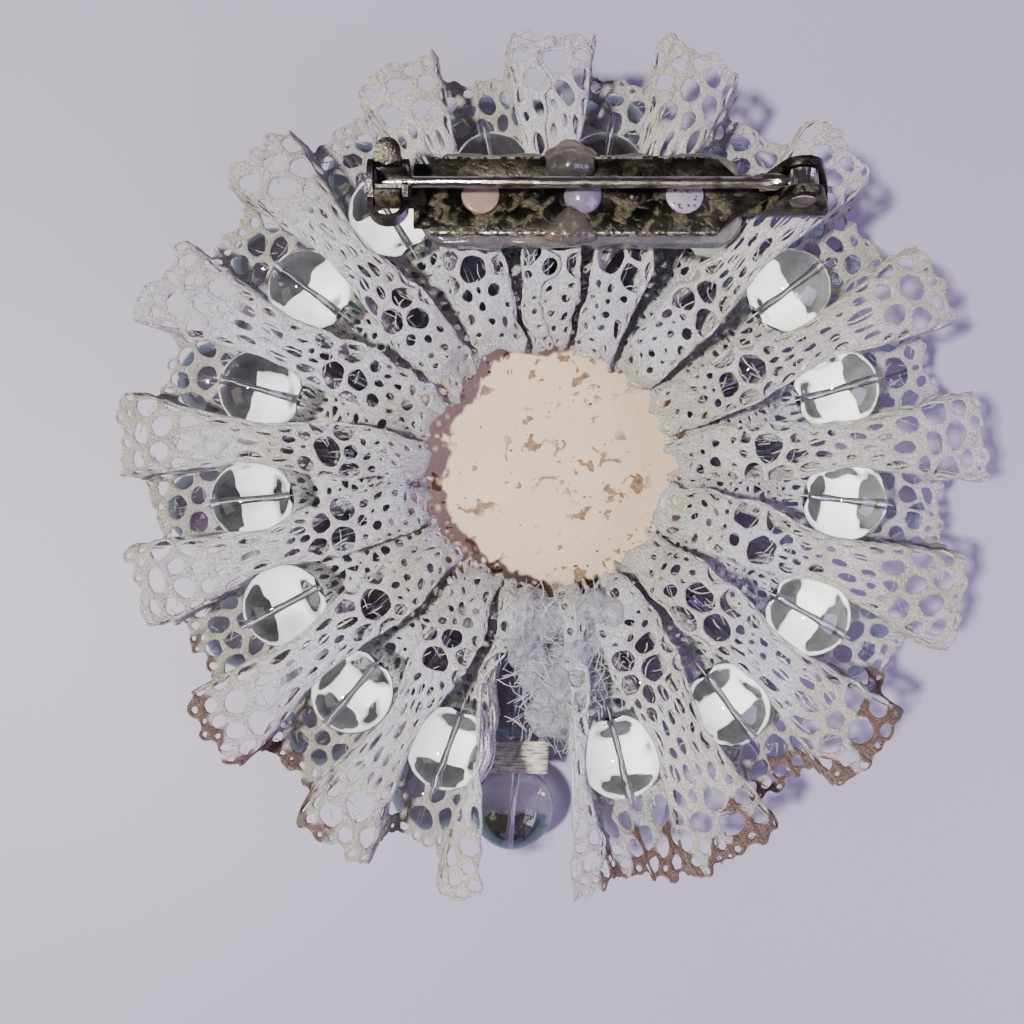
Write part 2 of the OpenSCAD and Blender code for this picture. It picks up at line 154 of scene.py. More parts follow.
def on_pleats(u, v):
    """Points in millimetres for places on the strip: u counts pleats, v runs from the gathered edge."""
    column = np.clip((u + 0.5) / pleats, 0, 1) * (columns - 1)
    row = np.clip(v / strip_w, 0, 1) * (rings - 1)
    c0, r0 = np.minimum(column.astype(int), columns - 2), np.minimum(row.astype(int), rings - 2)
    fc, fr = (column - c0)[:, None], (row - r0)[:, None]
    near = grid[r0, :, c0] * (1 - fc) + grid[r0, :, c0 + 1] * fc
    far = grid[r0 + 1, :, c0] * (1 - fc) + grid[r0 + 1, :, c0 + 1] * fc
    angle, height = (near * (1 - fr) + far * fr).T
    up = np.clip((height - floor_z) / pleat_h, 0, 1)
    tab = np.round(u + 0.5).clip(0, pleats).astype(int)
    skew = twist[tab] * (u + 0.5 - tab) * 4
    radius = inner_r + v + (v / strip_w) ** 2 * (up * 1.3 - 0.7 + (reach[tab] + skew) * up)
    points = np.stack([radius * np.cos(angle), radius * np.sin(angle), height], axis=1)
    crumple = np.clip(1 - v / 6.5, 0, 1)
    spots = points.copy()
    points[:, 2] += ripple(spots, 1.5) * (0.14 + 0.55 * crumple) + 0.25 * crumple
    points[:, 0] += ripple(spots + 31, 1.8) * (0.14 + 0.35 * crumple)
    points[:, 1] += ripple(spots + 57, 1.8) * (0.14 + 0.35 * crumple)
    points[:, 2] = np.maximum(points[:, 2], floor_z - 0.1)
    centre = bead_middles[np.round(u).clip(0, pleats - 1).astype(int)]
    away = points - centre
    gap = np.linalg.norm(away, axis=1, keepdims=True)
    clear = bead_r + 0.22
    return np.where(gap < clear, centre + away / gap * clear, points)


# Cell sizes along v: width across the strip, length along v, and half the thread's width
zone_v = np.array([0, 1.0, 1.6, 8.7, 9.1, 10.9, 11.5, 16.9, 17.6, 21.1, 21.6, 24])
zone_width = np.array([0.8, 0.8, 0.88, 0.95, 0.55, 0.55, 0.75, 0.75, 1.85, 1.85, 0.85, 0.85])
zone_length = np.array([0.8, 0.8, 0.88, 0.95, 1.1, 1.1, 1.9, 1.9, 1.8, 1.8, 0.85, 0.85])
zone_thread = np.array([0.34, 0.3, 0.29, 0.32, 0.19, 0.19, 0.36, 0.36, 0.24, 0.22, 0.34, 0.34])
eyelet = {"width": 2.1, "thread": 0.13, "half_u": 0.15, "v": (5.4, 8.8)}


def on_eyelets(u, v):
    """Whether a place is in one of the groups of large holes on top of a pleat."""
    from_top = np.abs((u + 0.5) - np.round(u + 0.5))
    low, high = eyelet["v"]
    wobble = 0.35 * np.sin(np.round(u + 0.5) * 2.4)
    return (from_top < eyelet["half_u"]) & (v > low + wobble) & (v < high + wobble)


def cell_width(u, v):
    return np.where(on_eyelets(u, v), eyelet["width"], np.interp(v, zone_v, zone_width))


def half_thread(u, v):
    return np.where(on_eyelets(u, v), eyelet["thread"], np.interp(v, zone_v, zone_thread))


# Arc length of the strip per pleat at each v, and v squeezed so that cells come out round
fine_v = np.linspace(-2, strip_w + 2, 400)
probe_u = np.linspace(-0.5, pleats - 0.5, 1601)
spread = [np.linalg.norm(np.diff(on_pleats(probe_u, np.full(1601, v)), axis=0), axis=1).sum() / pleats
          for v in ring_v]
fine_spread = np.interp(fine_v, ring_v, spread)
shape = np.interp(fine_v, zone_v, zone_width) / np.interp(fine_v, zone_v, zone_length)
fine_y = np.r_[0, np.cumsum((shape[1:] + shape[:-1]) / 2 * np.diff(fine_v))]


def cell_seeds():
    """Middles of the cells, spread at random but never closer than their size, past every edge."""
    y_low, y_high = np.interp([-1.1, strip_w + 1.1], fine_v, fine_y)
    tries = 90000
    u = lace_rng.uniform(-0.62, pleats - 0.38, tries)
    y = lace_rng.uniform(y_low, y_high, tries)
    v = np.interp(y, fine_y, fine_v)
    width = cell_width(u, v.clip(0, strip_w))
    x = u * 20
    scale = np.interp(v, fine_v, fine_spread) / 20
    first = np.argsort(~on_eyelets(u, v), kind="stable")
    kept, buckets = [], {}
    for i in first:
        key = (int(x[i] // 2), int(y[i] // 2))
        near = [j for gx in range(key[0] - 1, key[0] + 2) for gy in range(key[1] - 1, key[1] + 2)
                for j in buckets.get((gx, gy), ())]
        if all(math.hypot((x[i] - x[j]) * scale[i], y[i] - y[j]) >= 0.4 * (width[i] + width[j])
               for j in near):
            buckets.setdefault(key, []).append(i)
            kept.append(i)
    return u[kept], y[kept]


def triangles_of(u, y):
    """Triangles that join neighbouring seeds, worked out one pleat at a time."""
    found = []
    scale = np.interp(np.interp(y, fine_y, fine_v), fine_v, fine_spread)
    for k in range(-1, pleats):
        chosen = np.flatnonzero((u > k - 0.3) & (u < k + 1.3))
        flat = [Vector(((u[i] - k - 0.5) * scale[i], y[i])) for i in chosen]
        corners = delaunay_2d_cdt(flat, [], [], 0, 1e-6)[2]
        tri = chosen[np.array([c for c in corners if len(c) == 3])]
        at = u[tri].mean(axis=1)
        found.append(tri[(at >= k) & (at < k + 1)])
    return np.concatenate(found)


seed_u, seed_y = cell_seeds()
for settle in range(2):
    tri = triangles_of(seed_u, seed_y)
    total = np.zeros((len(seed_u), 3))
    for corner in range(3):
        np.add.at(total, tri[:, corner],
                  np.stack([seed_u[tri].mean(axis=1), seed_y[tri].mean(axis=1), np.ones(len(tri))], axis=1))
    some = total[:, 2] > 3
    seed_u[some] += 0.6 * (total[some, 0] / total[some, 2] - seed_u[some])
    seed_y[some] += 0.6 * (total[some, 1] / total[some, 2] - seed_y[some])
tri = triangles_of(seed_u, seed_y)
knot_u, knot_y = seed_u[tri].mean(axis=1), seed_y[tri].mean(axis=1)
knots_round = [[] for _ in seed_u]
for t, corners in enumerate(tri):
    for corner in corners:
        knots_round[corner].append(t)

strips = 6
strip_faces = [[] for _ in range(strips)]
net_u, net_v = list(knot_u), list(np.interp(knot_y, fine_y, fine_v))
seed_v = np.interp(seed_y, fine_y, fine_v)
seed_spread = np.interp(seed_v, fine_v, fine_spread)
seed_thread = half_thread(seed_u, seed_v) * lace_rng.uniform(0.7, 1.35, len(seed_u))
knot_v = np.array(net_v)
for i, around in enumerate(knots_round):
    if len(around) < 4:
        continue
    du = (knot_u[around] - seed_u[i]) * seed_spread[i]
    dy = knot_y[around] - seed_y[i]
    order = np.argsort(np.arctan2(dy, du))
    ring = [around[o] for o in order]
    if not (-0.5 < seed_u[i] < pleats - 0.5) or not (0 < seed_v[i] < strip_w):
        continue
    cu, cv = knot_u[ring].mean(), knot_v[ring].mean()
    dv = knot_v[ring] - cv
    dx = (knot_u[ring] - cu) * seed_spread[i]
    half = np.hypot(dx, dv).mean() * 0.88
    keep = 1 - seed_thread[i] / half
    piece = min(int((seed_u[i] + 0.5) / pleats * strips), strips - 1)
    if keep < 0.22:
        strip_faces[piece].append(ring)
        continue
    start, count = len(net_u), len(ring)
    pull = keep * lace_rng.uniform(0.88, 1.05, count)
    hole_u, hole_v = cu + (knot_u[ring] - cu) * pull, cv + dv * pull
    if cell_width(seed_u[i], seed_v[i]) < 1.3:
        net_u += list(hole_u)
        net_v += list(hole_v)
        for a in range(count):
            b = (a + 1) % count
            strip_faces[piece].append((ring[a], ring[b], start + b, start + a))
        continue
    for back in (1, -1):
        net_u += list(hole_u + 0.2 * (np.roll(hole_u, back) - hole_u))
        net_v += list(hole_v + 0.2 * (np.roll(hole_v, back) - hole_v))
    for a in range(count):
        b = (a + 1) % count
        strip_faces[piece].append((ring[a], ring[b], start + b, start + count + a))
        strip_faces[piece].append((ring[a], start + count + a, start + a))

net_u, net_v = np.array(net_u), np.array(net_v)
net_points = on_pleats(net_u, net_v) + lace_rng.normal(0, 0.05, (len(net_u), 3))

# Rust from damp has crept along the cut edge at two places, as angles round the ring in degrees
rust_arcs = [(204, 240, 1.5), (276, 330, 2.8)]


def rusted(points, v):
    """How far each place is soaked with rust, from 0 to 1."""
    angle = np.degrees(np.arctan2(points[:, 1], points[:, 0])) % 360
    soaked = np.zeros(len(points))
    for low, high, depth in rust_arcs:
        inside = np.clip((angle - low) / 3, 0, 1) * np.clip((high - angle) / 3, 0, 1)
        creep = depth * (0.8 + 0.8 * np.sin(angle * 0.9) * np.sin(angle * 0.37 + 1))
        soaked = np.maximum(soaked, inside * np.clip((v - (strip_w - creep)) / 0.6, 0, 1))
    return soaked


def only(*pieces):
    """Selects these pieces and makes the first one active."""
    bpy.ops.object.select_all(action="DESELECT")
    for piece in pieces:
        piece.select_set(True)
    bpy.context.view_layer.objects.active = pieces[0]


def new_piece(name, points, faces, smooth=True):
    """An object made from points in metres."""
    mesh = bpy.data.meshes.new(name)
    mesh.from_pydata(points, [], faces)
    mesh.update()
    mesh.polygons.foreach_set("use_smooth", [smooth] * len(mesh.polygons))
    piece = bpy.data.objects.new(name, mesh)
    bpy.context.collection.objects.link(piece)
    return piece


def mark_strip(mesh, points, u, v):
    """Stores where each corner lies on the flat strip, and how much rust it has."""
    loops = np.empty(len(mesh.loops), dtype=np.int64)
    mesh.loops.foreach_get("vertex_index", loops)
    flat = np.stack([u * np.mean(spread), v], axis=1) * MM
    mesh.uv_layers.new(name="strip").data.foreach_set("uv", flat[loops].astype(np.float32).ravel())
    rust = mesh.attributes.new("rust", "FLOAT", "POINT")
    rust.data.foreach_set("value", rusted(points, v).astype(np.float32))


lace_pieces = []
for n, faces in enumerate(strip_faces):
    used = np.unique(np.concatenate([np.array(f) for f in faces]))
    number = {int(old): new for new, old in enumerate(used)}
    strip = new_piece(f"lace_strip_{n + 1}", (net_points[used] * MM).tolist(),
                      [[number[int(c)] for c in f] for f in faces], smooth=False)
    mark_strip(strip.data, net_points[used], net_u[used], net_v[used])
    only(strip)
    wall = strip.modifiers.new("thread", "SOLIDIFY")
    wall.thickness, wall.offset = 0.25 * MM, 0
    wall.use_even_offset = False
    soft = strip.modifiers.new("soft", "SUBSURF")
    soft.levels = soft.render_levels = 1
    bpy.ops.object.modifier_apply(modifier="thread")
    bpy.ops.object.modifier_apply(modifier="soft")
    strip.data.polygons.foreach_set("use_smooth", [True] * len(strip.data.polygons))
    lace_pieces.append(strip)


def new_look(name, **sockets):
    """A material with its shader's plain values set: itself, its shader and its place socket."""
    look = bpy.data.materials.new(name)
    look.use_nodes = True
    shader = look.node_tree.nodes["Principled BSDF"]
    for socket, value in sockets.items():
        put(value, shader.inputs[socket.replace("_", " ")])
    return look, shader, look.node_tree.nodes.new("ShaderNodeTexCoord").outputs["Object"]


def put(value, socket):
    """Gives a socket a number, a colour or another socket's value."""
    if isinstance(value, bpy.types.NodeSocket):
        socket.id_data.links.new(value, socket)
    else:
        socket.default_value = (*value, 1) if isinstance(value, tuple) else value


def mottle_group():
    """Patches: a mask from 0 to 1 of a noise on the piece, stretched along its axes as wanted."""
    group = bpy.data.node_groups.new("mottle", "ShaderNodeTree")
    face = group.interface
    face.new_socket("Place", in_out="INPUT", socket_type="NodeSocketVector")
    for name, value in (("Size", 1.0), ("Detail", 4.0), ("Cover", 0.5), ("Edge", 0.1), ("Warp", 0.0)):
        socket = face.new_socket(name, in_out="INPUT", socket_type="NodeSocketFloat")
        socket.default_value = value
    face.new_socket("Mask", in_out="OUTPUT", socket_type="NodeSocketFloat")
    face.new_socket("Height", in_out="OUTPUT", socket_type="NodeSocketFloat")
    nodes, links = group.nodes, group.links
    given, result = nodes.new("NodeGroupInput"), nodes.new("NodeGroupOutput")
    scale = nodes.new("ShaderNodeMath")
    scale.operation = "DIVIDE"
    scale.inputs[0].default_value = 1 / MM
    noise = nodes.new("ShaderNodeTexNoise")
    high, low = nodes.new("ShaderNodeMath"), nodes.new("ShaderNodeMath")
    high.operation, low.operation = "ADD", "SUBTRACT"
    turned = nodes.new("ShaderNodeMath")
    turned.operation = "SUBTRACT"
    turned.inputs[0].default_value = 1
    ramp = nodes.new("ShaderNodeMapRange")
    ramp.interpolation_type = "SMOOTHSTEP"
    links.new(given.outputs["Size"], scale.inputs[1])
    links.new(given.outputs["Place"], noise.inputs["Vector"])
    links.new(scale.outputs[0], noise.inputs["Scale"])
    links.new(given.outputs["Detail"], noise.inputs["Detail"])
    links.new(given.outputs["Warp"], noise.inputs["Distortion"])
    links.new(given.outputs["Cover"], turned.inputs[1])
    links.new(turned.outputs[0], high.inputs[0])
    links.new(given.outputs["Edge"], high.inputs[1])
    links.new(turned.outputs[0], low.inputs[0])
    links.new(given.outputs["Edge"], low.inputs[1])
    links.new(noise.outputs["Fac"], ramp.inputs["Value"])
    links.new(low.outputs[0], ramp.inputs["From Min"])
    links.new(high.outputs[0], ramp.inputs["From Max"])
    links.new(ramp.outputs["Result"], result.inputs["Mask"])
    links.new(noise.outputs["Fac"], result.inputs["Height"])
    return group


mottle = mottle_group()


def patches(place, size, cover=0.5, edge=0.1, detail=4.0, warp=0.0):
    """A mottle group in a material, fed with a place: its node."""
    node = place.id_data.nodes.new("ShaderNodeGroup")
    node.node_tree = mottle
    put(place, node.inputs["Place"])
    for name, value in (("Size", size), ("Cover", cover), ("Edge", edge), ("Detail", detail), ("Warp", warp)):
        node.inputs[name].default_value = value
    return node


def tint(mask, below, above, blend="MIX"):
    """Mixes two colours, or sockets that carry them, by a mask: the mixed colour."""
    mix = mask.id_data.nodes.new("ShaderNodeMix")
    mix.data_type, mix.blend_type = "RGBA", blend
    for value, socket in ((mask, mix.inputs["Factor"]), (below, mix.inputs[6]), (above, mix.inputs[7])):
        put(value, socket)
    return mix.outputs[2]


def maths(operation, first, second=0.0):
    """The result of a sum on a socket and a socket or a number."""
    node = first.id_data.nodes.new("ShaderNodeMath")
    node.operation = operation
    put(first, node.inputs[0])
    put(second, node.inputs[1])
    return node.outputs[0]


def axis(place, name):
    """One axis of a place."""
    node = place.id_data.nodes.new("ShaderNodeSeparateXYZ")
    put(place, node.inputs[0])
    return node.outputs[name]


def stretched(place, scale):
    """A place with its axes scaled, so that patches on it come out long."""
    node = place.id_data.nodes.new("ShaderNodeMapping")
    node.inputs["Scale"].default_value = scale
    put(place, node.inputs["Vector"])
    return node.outputs["Vector"]


def raised(shader, height, distance, under=None):
    """A bump of a height in millimetres on a shader: its node."""
    bump = height.id_data.nodes.new("ShaderNodeBump")
    bump.inputs["Distance"].default_value = distance * MM
    bump.inputs["Strength"].default_value = 1.0
    put(height, bump.inputs["Height"])
    if under:
        put(under.outputs["Normal"], bump.inputs["Normal"])
    put(bump.outputs["Normal"], shader.inputs["Normal"])
    return bump


def ranged(value, low, high, start=0.0, end=1.0):
    """A value that runs from start to end, brought between low and high."""
    span = value.id_data.nodes.new("ShaderNodeMapRange")
    for name, limit in (("From Min", start), ("From Max", end), ("To Min", low), ("To Max", high)):
        span.inputs[name].default_value = limit
    put(value, span.inputs["Value"])
    return span.outputs["Result"]


def cotton_look():
    """Off-white cotton, ribbed along the strip's width, with soiling, rust at parts of the rim and painted
    shade towards the rim.
    """
    look, shader, place = new_look(
        "cotton_lace", Sheen_Weight=0.35, Sheen_Roughness=0.5, Specular_IOR_Level=0.35)
    nodes = look.node_tree.nodes
    strip_map = nodes.new("ShaderNodeUVMap")
    strip_map.uv_map = "strip"
    on_strip = strip_map.outputs["UV"]
    ribs = patches(stretched(on_strip, (1, 0.14, 1)), 0.34, 0.5, 0.16, 3)
    fibres = patches(on_strip, 0.16, 0.5, 0.2, 5, 1.2)
    soil = patches(place, 5.5, 0.52, 0.16, 3)
    lilac = patches(place, 9, 0.5, 0.14, 1)
    colour = tint(soil.outputs["Mask"], (0.80, 0.78, 0.74), (0.66, 0.63, 0.54))
    colour = tint(lilac.outputs["Mask"], colour, (0.79, 0.76, 0.82))
    shade = nodes.new("ShaderNodeMix")
    shade.data_type, shade.blend_type = "RGBA", "MULTIPLY"
    put(0.75, shade.inputs["Factor"])
    put(colour, shade.inputs[6])
    put(tint(fibres.outputs["Mask"], (0.5, 0.48, 0.46), (1.0, 1.0, 1.0)), shade.inputs[7])
    # Painted shade: the net darkens towards its outer rim, where the pleats' hollow insides lie in shade.
    rim = ranged(axis(on_strip, "Y"), 0, 1, 0.62 * strip_w * MM, 0.85 * strip_w * MM)
    rim_painted_shade = tint(rim, shade.outputs[2], (0.74, 0.72, 0.7), "MULTIPLY")
    stain = nodes.new("ShaderNodeAttribute")
    stain.attribute_name = "rust"
    blots = patches(place, 0.9, 0.7, 0.08, 5, 0.6)
    soaked = ranged(maths("MULTIPLY", stain.outputs["Fac"], blots.outputs["Mask"]), 0, 1, 0.12, 0.45)
    rust = tint(fibres.outputs["Mask"], (0.04, 0.013, 0.006), (0.15, 0.05, 0.02))
    put(tint(soaked, rim_painted_shade, rust), shader.inputs["Base Color"])
    put(ranged(fibres.outputs["Mask"], 0.85, 0.55), shader.inputs["Roughness"])
    ridge = raised(shader, ribs.outputs["Height"], 0.5)
    raised(shader, fibres.outputs["Height"], 0.45, ridge)
    return look


lace_look = cotton_look()
for strip in lace_pieces:
    strip.data.materials.append(lace_look)
    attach(strip, "brooch")
    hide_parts("lace_ruffle")


# --------------------------------------------------------- ribs and loose fibres
# Twisted threads run across the dense band of the lace as raised ribs, and worn fibres stand off
# the whole strip and cross its large holes. All are cotton, laid along the pleated strip.
def laid_threads(name, u, v, lift, radius, sides, look):
    """Tubes along lines on the strip; u, v and lift are one row of points for each thread."""
    count, steps = u.shape
    flat_u, flat_v = u.ravel(), v.ravel()
    here = on_pleats(flat_u, flat_v)
    east = on_pleats(flat_u + 0.004, flat_v) - on_pleats(flat_u - 0.004, flat_v)
    north = on_pleats(flat_u, flat_v + 0.1) - on_pleats(flat_u, flat_v - 0.1)
    out = np.cross(east, north)
    out /= np.linalg.norm(out, axis=1, keepdims=True) + 1e-9
    spots = (here + out * lift.ravel()[:, None]).reshape(count, steps, 3)
    out = out.reshape(count, steps, 3)
    run = np.gradient(spots, axis=1)
    run /= np.linalg.norm(run, axis=2, keepdims=True) + 1e-9
    side = np.cross(run, out)
    side /= np.linalg.norm(side, axis=2, keepdims=True) + 1e-9
    top = np.cross(side, run)
    turn = np.arange(sides) * 2 * math.pi / sides
    taper = np.sin(np.linspace(0.12, math.pi - 0.12, steps)) ** 0.3
    thick = (radius[:, None] * taper)[:, :, None, None]
    ring = (side[:, :, None] * np.cos(turn)[:, None] + top[:, :, None] * np.sin(turn)[:, None]) * thick
    points = (spots[:, :, None] + ring).reshape(-1, 3) * MM
    faces = []
    for n in range(count):
        start = n * steps * sides
        for i in range(steps - 1):
            for j in range(sides):
                a, b = start + i * sides + j, start + i * sides + (j + 1) % sides
                faces.append((a, b, b + sides, a + sides))
        faces.append(tuple(start + j for j in reversed(range(sides))))
        faces.append(tuple(start + (steps - 1) * sides + j for j in range(sides)))
    threads = new_piece(name, points.tolist(), faces)
    mark_strip(threads.data, points / MM, np.repeat(flat_u, sides), np.repeat(flat_v, sides))
    threads.data.materials.append(look)
    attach(threads, "brooch")


thread_rng = np.random.default_rng(23)
rib_pitch = 0.5
rib_u = np.arange(-0.48, pleats - 0.52, rib_pitch / np.mean(spread))
rib_count, rib_steps = len(rib_u), 12
rib_share = np.linspace(0, 1, rib_steps)
rib_from = thread_rng.uniform(8.6, 10.6, rib_count)[:, None]
rib_to = thread_rng.uniform(15.2, 18.2, rib_count)[:, None]
rib_v = rib_from + (rib_to - rib_from) * rib_share
rib_sway = np.cumsum(thread_rng.normal(0, 0.0045, (rib_count, rib_steps)), axis=1)
rib_lift = 0.13 + thread_rng.normal(0, 0.03, (rib_count, rib_steps))
laid_threads("lace_ribs", rib_u[:, None] + rib_sway, rib_v, rib_lift,
             thread_rng.uniform(0.07, 0.13, rib_count), 5, lace_look)

fibre_count, fibre_steps = 4200, 6
fibre_u = thread_rng.uniform(-0.45, pleats - 0.55, fibre_count)[:, None]
fibre_v = (0.6 + (strip_w - 1.4) * thread_rng.uniform(0, 1, fibre_count) ** 1.35)[:, None]
heading = thread_rng.uniform(0, 2 * math.pi, fibre_count)[:, None]
bend = thread_rng.normal(0, 0.9, fibre_count)[:, None]
length = thread_rng.uniform(0.7, 2.4, fibre_count)[:, None]
share = np.linspace(-0.5, 0.5, fibre_steps)
turned = heading + bend * share
run_u = fibre_u + np.cumsum(np.cos(turned), axis=1) * length / fibre_steps / np.mean(spread)
run_v = fibre_v + np.cumsum(np.sin(turned), axis=1) * length / fibre_steps
run_lift = thread_rng.uniform(0.08, 0.2, (fibre_count, 1)) + 0.12 * np.cos(share * math.pi)
laid_threads("lace_fibres", run_u.clip(-0.49, pleats - 0.51), run_v.clip(0.1, strip_w - 0.1), run_lift,
             thread_rng.uniform(0.02, 0.055, fibre_count), 4, lace_look)


# ------------------------------------------------------------------ clear beads
# Round acrylic beads, drilled through and sewn on with clear nylon thread.
# One sits in each back pleat; the front has two rings of slightly larger ones with a faint coat.
hole_r = 0.12
bead_rings = 22


def drilled_sphere(name, radius):
    """A smooth sphere about the origin with a hole along X."""
    bpy.ops.mesh.primitive_uv_sphere_add(
        segments=36, ring_count=bead_rings, radius=radius * MM, rotation=(0, math.pi / 2, 0))
    ball = bpy.context.object
    bpy.ops.object.transform_apply(rotation=True)
    ball.name = ball.data.name = name
    bpy.ops.object.mode_set(mode="EDIT")
    bpy.ops.mesh.select_all(action="DESELECT")
    bpy.ops.object.mode_set(mode="OBJECT")
    for vertex in ball.data.vertices:
        vertex.select = abs(vertex.co.x) > radius * MM * 0.9999
    bpy.ops.object.mode_set(mode="EDIT")
    bpy.ops.mesh.select_mode(type="VERT")
    bpy.ops.mesh.delete(type="VERT")
    bpy.ops.object.mode_set(mode="OBJECT")
    for vertex in ball.data.vertices:
        if abs(vertex.co.x) > radius * MM * math.cos(1.5 * math.pi / bead_rings):
            round_hole = hole_r * MM / math.hypot(vertex.co.y, vertex.co.z)
            vertex.co.y *= round_hole
            vertex.co.z *= round_hole
            vertex.co.x = math.copysign(math.sqrt(radius ** 2 - hole_r ** 2) * MM, vertex.co.x)
    bpy.ops.object.mode_set(mode="EDIT")
    bpy.ops.mesh.select_mode(type="EDGE")
    bpy.ops.mesh.select_all(action="DESELECT")
    bpy.ops.mesh.select_non_manifold()
    bpy.ops.mesh.bridge_edge_loops()
    bpy.ops.mesh.select_all(action="SELECT")
    bpy.ops.mesh.normals_make_consistent(inside=False)
    bpy.ops.object.mode_set(mode="OBJECT")
    smooth = ball.modifiers.new("smooth", "SUBSURF")
    smooth.levels = smooth.render_levels = 1
    bpy.ops.object.modifier_apply(modifier="smooth")
    bpy.ops.object.shade_smooth_by_angle(angle=math.radians(50))
    return ball


def acrylic_look(name, tone, coat_thickness, pass_light):
    """Clear acrylic with fine scratches, that lets part of the light through to what is behind it."""
    look, shader, place = new_look(name, Base_Color=tone, Transmission_Weight=1.0, IOR=1.49,
                                   Thin_Film_Thickness=coat_thickness, Thin_Film_IOR=1.7)
    scuffs = patches(place, 0.5, 0.42, 0.05, 6, 2.5)
    put(ranged(scuffs.outputs["Mask"], 0.0, 0.06), shader.inputs["Roughness"])
    raised(shader, patches(place, 2.2, 0.5, 0.3, 1).outputs["Height"], 0.12)
    nodes = look.node_tree.nodes
    clear = nodes.new("ShaderNodeBsdfTransparent")
    put(tone, clear.inputs["Color"])
    shadow = nodes.new("ShaderNodeLightPath").outputs["Is Shadow Ray"]
    mix = nodes.new("ShaderNodeMixShader")
    put(maths("MULTIPLY", shadow, pass_light), mix.inputs["Fac"])
    put(shader.outputs["BSDF"], mix.inputs[1])
    put(clear.outputs["BSDF"], mix.inputs[2])
    put(mix.outputs["Shader"], nodes["Material Output"].inputs["Surface"])
    return look


def set_bead(master, name, at, look):
    """A copy of a bead at a place in millimetres, with its hole along the ring's radius."""
    bead = bpy.data.objects.new(name, master.data.copy())
    bead.data.name = name
    bpy.context.collection.objects.link(bead)
    turn = Matrix.Rotation(math.atan2(at[1], at[0]), 4, "Z")
    bead.data.transform(Matrix.Translation([c * MM for c in at]) @ turn)
    bead.data.materials.append(look)
    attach(bead, "brooch")
    return bead


back_look = acrylic_look("back_bead_acrylic", (0.96, 0.98, 0.97), 0, 0.25)
front_look = acrylic_look("front_bead_acrylic", (0.74, 0.71, 0.77), 420, 0.15)
front_names = sorted(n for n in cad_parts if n.startswith("front_bead_"))
front_low, front_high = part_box(front_names[0])
front_r = (front_high[2] - front_low[2]) / 2 / MM
masters = drilled_sphere("back_master", bead_r), drilled_sphere("front_master", front_r)
for names, master, look, slot in ((bead_names, masters[0], back_look, "back_bead"),
                                  (front_names, masters[1], front_look, "front_bead")):
    for name in names:
        bead = set_bead(master, name.replace("bead", "bead_glass"), middle(name), look)
        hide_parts(name)

# The inner ring is one piece: a bead under each pleat, and one in the seam
inner_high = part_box("inner_front_beads")[1]
pleat_angles = [(a + b) / 2 for a, b in zip(valley_angles, valley_angles[1:])]
seam_angle = 2 * math.pi - (valley_angles[-1] - valley_angles[0])
inner_ring_r = (inner_high[1] / MM - front_r) / max(math.sin(a) for a in pleat_angles)
inner_seam = valley_angles[-1] + 0.36 * seam_angle
inner_beads, inner_middles = [], []
for angle in [*pleat_angles, inner_seam]:
    at = (inner_ring_r * math.cos(angle), inner_ring_r * math.sin(angle), front_r)
    inner_middles.append(at)
    inner_beads.append(set_bead(masters[1], "inner_bead", at, front_look))
for master in masters:
    bpy.data.objects.remove(master)
only(*inner_beads)
bpy.ops.object.join()
inner_ring = bpy.context.object
inner_ring.name = inner_ring.data.name = "inner_front_bead_glass"
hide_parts("inner_front_beads")


# ------------------------------------------------------------------- painted glow and shade under the beads
# Under each back bead lies a glowing white pad, painted light, that stands in for the light the bead gathers
# onto the lace.
# The bead enlarges it like a lens, so that it shows as a white patch with straight edges.
# Round each pad lies a dark sheet of painted shade.
# Painted light: the pad is near white and glows by its own emission.
def painted_glow_look():
    look, shader, place = new_look(
        "painted_caustic_glow", Roughness=0.4, Emission_Strength=1.0)
    wear_and_glow_mottle = patches(place, 0.5, 0.42, 0.1, 5)
    colour = tint(wear_and_glow_mottle.outputs["Mask"], (0.92, 0.96, 0.92), (0.75, 0.8, 0.78))
    put(colour, shader.inputs["Base Color"])
    put(tint(wear_and_glow_mottle.outputs["Mask"], (0.62, 0.66, 0.62), (0.5, 0.54, 0.53)),
              shader.inputs["Emission Color"])
    return look


# Painted shade: near-black sheets laid under the beads, where only shade falls.
def dark_look():
    look, shader, place = new_look("shaded_valley", Roughness=0.6)
    bands = patches(place, 0.5, 0.5, 0.2, 4, 1.0)
    put(tint(bands.outputs["Mask"], (0.03, 0.026, 0.032), (0.1, 0.09, 0.1)),
              shader.inputs["Base Color"])
    return look


def bowl_patch(at, angle, along, across, raise_by, thick):
    """A curved pad under a bead: its corners are angles from straight down, outward and sideways."""
    steps_a, steps_b = 10, 14
    points, faces = [], []
    for layer in (0, thick):
        for i in range(steps_a + 1):
            for j in range(steps_b + 1):
                a = along[0] + (along[1] - along[0]) * i / steps_a
                b = across[0] + (across[1] - across[0]) * j / steps_b
                ray = Vector((math.tan(a), math.tan(b), -1)).normalized() * (bead_r + raise_by + layer)
                ray.rotate(Matrix.Rotation(angle, 3, "Z"))
                points.append([(ray[c] + at[c]) * MM for c in range(3)])
    row, skin = steps_b + 1, (steps_a + 1) * (steps_b + 1)
    for i in range(steps_a):
        for j in range(steps_b):
            p = i * row + j
            faces.append((p, p + 1, p + row + 1, p + row))
            faces.append((p + skin, p + row + skin, p + row + 1 + skin, p + 1 + skin))
    rim = [*range(row), *[i * row + steps_b for i in range(1, steps_a + 1)],
           *[steps_a * row + j for j in range(steps_b - 1, -1, -1)],
           *[i * row for i in range(steps_a - 1, 0, -1)]]
    for a, b in zip(rim, rim[1:] + rim[:1]):
        faces.append((b, a, a + skin, b + skin))
    return points, faces


